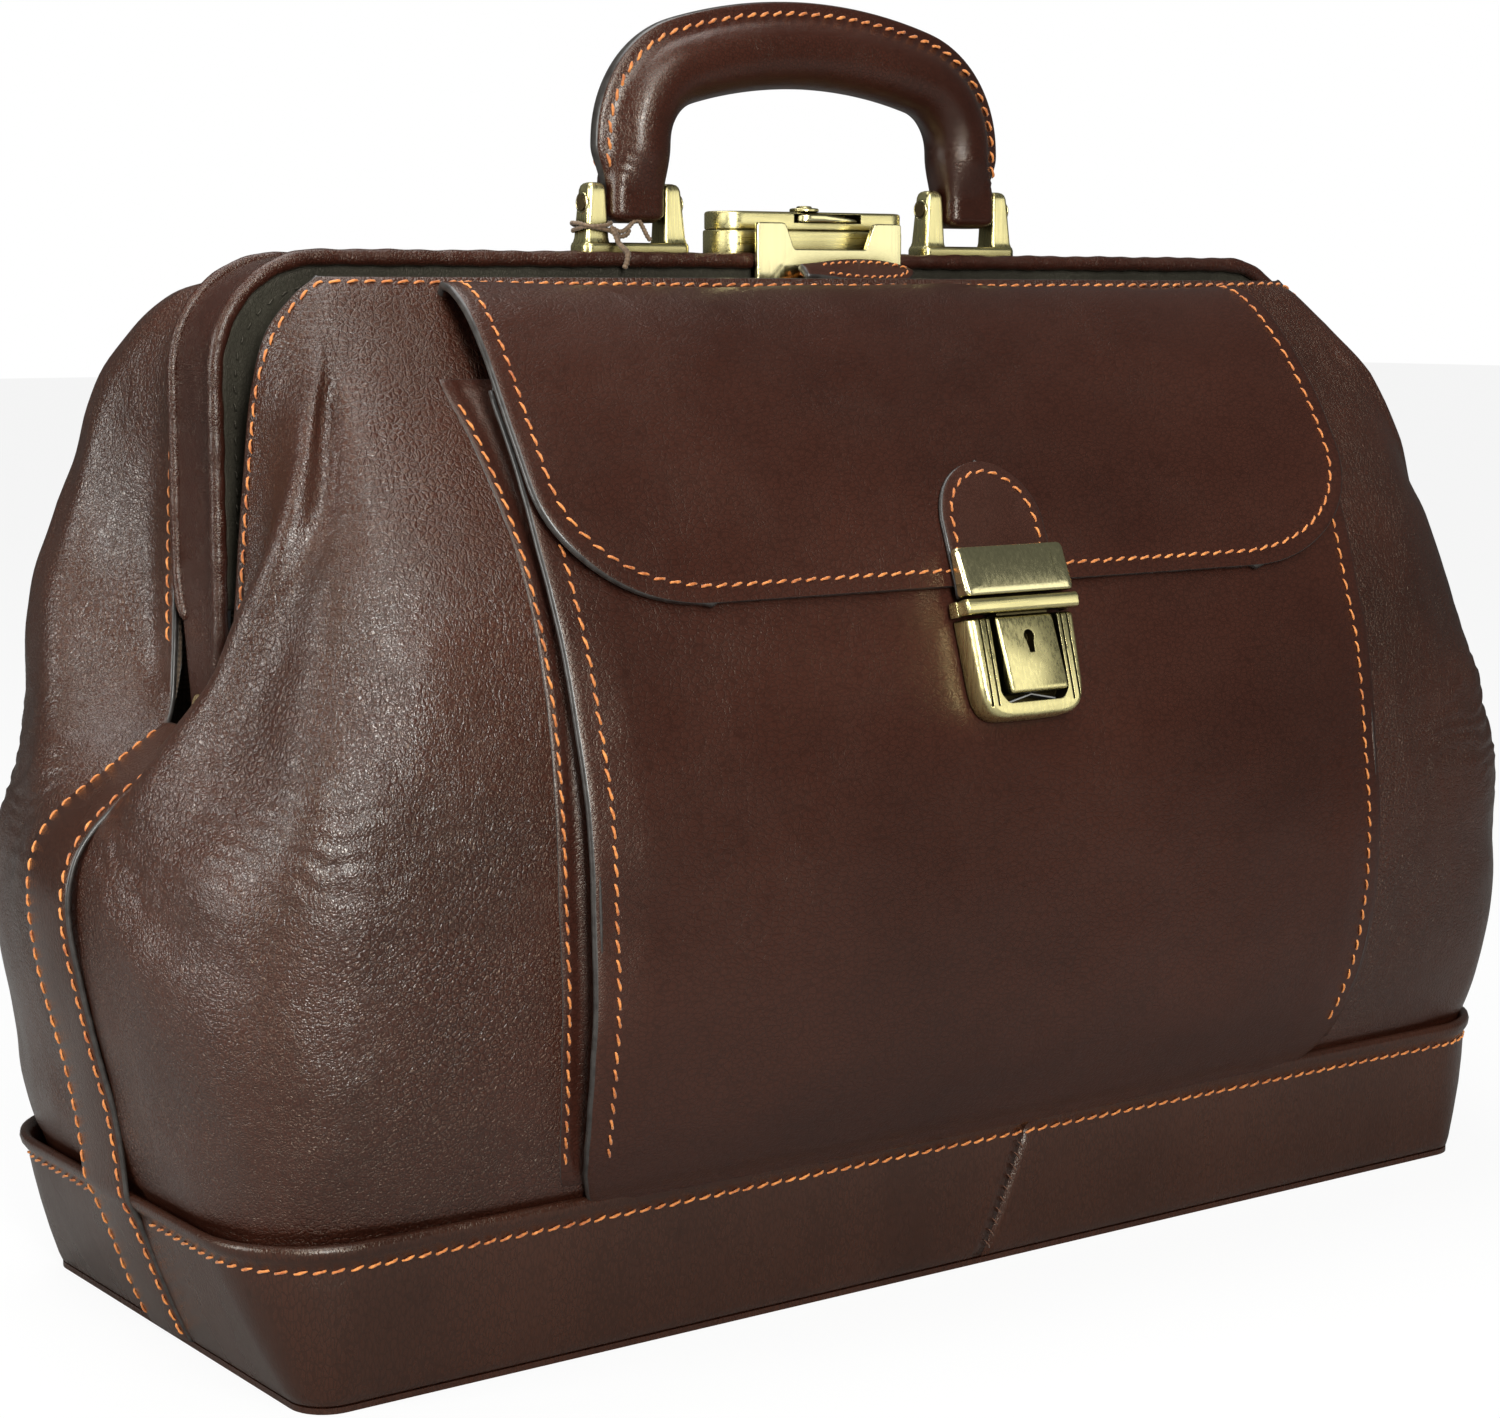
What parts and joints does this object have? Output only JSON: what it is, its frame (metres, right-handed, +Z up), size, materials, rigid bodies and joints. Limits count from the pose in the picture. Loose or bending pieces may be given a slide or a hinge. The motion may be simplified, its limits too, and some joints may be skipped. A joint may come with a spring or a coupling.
{
  "type": "doctor bag",
  "caption": "Framed leather doctor bag with a stiff base band, hinged top frame, arched handle on brass brackets, frame lock and a flap pocket with a press lock.",
  "frame": {"origin": "centre of the underside, on the face the bag stands on", "axes": "+X to the right seen from the front, +Y to the back, +Z up"},
  "size_m": [0.461, 0.1934, 0.3438],
  "materials": {
    "leather_body": "glossy pebbled dark brown leather",
    "leather_flap": "fine grained glazed dark brown leather",
    "leather_band": "stiff glossy dark brown leather",
    "leather_handle": "smooth polished dark brown leather",
    "lining": "woven cotton lining",
    "board": "fibreboard",
    "brass": "brushed antique brass",
    "screws": "darkened brass",
    "steel": "plain steel"
  },
  "bodies": {
    "bag_body": {"base_band_left": "leather_band", "base_band_right": "leather_band", "base_board": "board", "base_bottom_leather": "leather_band", "base_lining": "lining", "flap_back_leaf": "leather_flap", "front_body_leather": "leather_body", "front_frame": "steel", "front_frame_binding": "leather_band", "front_lining": "lining", "hasp_plate": "brass", "hasp_rivets": "brass", "hinge_rivets": "brass", "hinge_spacers": "steel", "pocket_front_leather": "leather_flap", "pocket_gusset_left": "leather_flap", "pocket_gusset_right": "leather_flap", "press_lock_backplate": "steel", "press_lock_case": "brass", "press_lock_rivets": "brass", "press_lock_spring": "steel", "rear_body_leather": "leather_body", "rear_lining": "lining", "side_strip_left": "leather_band", "side_strip_right": "leather_band"},
    "rear_half": {"rear_frame": "steel", "frame_leather_cover": "leather_band", "frame_piping_front": "leather_band", "frame_piping_rear": "leather_band", "handle_bracket_left": "brass", "handle_bracket_right": "brass", "bracket_screws": "screws", "handle_pins": "screws", "frame_lock_base": "brass", "frame_lock_case": "brass", "frame_lock_spring": "steel", "lock_screws": "screws"},
    "handle": {"handle_grip_leather": "leather_handle", "handle_core_rod": "steel"},
    "lock_lever": {"frame_lock_lever": "brass"},
    "lock_bolt": {"frame_lock_bolt": "steel"},
    "flap": {"flap_leather": "leather_flap", "flap_lock_tab": "leather_flap", "press_lock_hasp": "brass", "press_lock_collar": "brass", "press_lock_tongue": "brass"},
    "lock_slider": {"press_lock_slider": "brass"},
    "lock_cam": {"press_lock_cam": "brass"},
    "pull_tab": {"pull_tab": "leather_flap"}
  },
  "joints": [
    {"name": "frame_open", "type": "hinge", "parent": "bag_body", "child": "rear_half", "pos_m": [0, 0, 0.16], "axis": [-1, 0, 0], "range_deg": [0, 60], "deforming": ["rear_body_leather", "rear_lining"]},
    {"name": "handle_swing", "type": "hinge", "parent": "rear_half", "child": "handle", "pos_m": [0, -0.001, 0.288], "axis": [-1, 0, 0], "range_deg": [-80, 80]},
    {"name": "lever_turn", "type": "hinge", "parent": "rear_half", "child": "lock_lever", "pos_m": [-0.002, -0.0046, 0.2848], "axis": [0, 0, -1], "range_deg": [0, 40]},
    {"name": "bolt_slide", "type": "slide", "parent": "rear_half", "child": "lock_bolt", "axis": [-1, 0, 0], "range_m": [0, 0.0051]},
    {"name": "flap_open", "type": "hinge", "parent": "bag_body", "child": "flap", "pos_m": [0, -0.0335, 0.2642], "axis": [-1, 0, 0], "range_deg": [0, 100]},
    {"name": "slider_press", "type": "slide", "parent": "bag_body", "child": "lock_slider", "axis": [0, -0.2706, -0.9627], "range_m": [0, 0.002], "deforming": ["press_lock_spring"]},
    {"name": "key_turn", "type": "hinge", "parent": "lock_slider", "child": "lock_cam", "pos_m": [0, -0.09266, 0.17287], "axis": [0, -0.9627, 0.2706], "range_deg": [0, 90]},
    {"name": "pull_tab_lift", "type": "hinge", "parent": "bag_body", "child": "pull_tab", "pos_m": [-0.013, -0.0186, 0.2689], "axis": [0, -1, 0], "range_deg": [0, 60]}
  ],
  "couplings": [
    {"joint": "bolt_slide", "follows": "lever_turn", "m_per_rad": 0.007162}
  ]
}
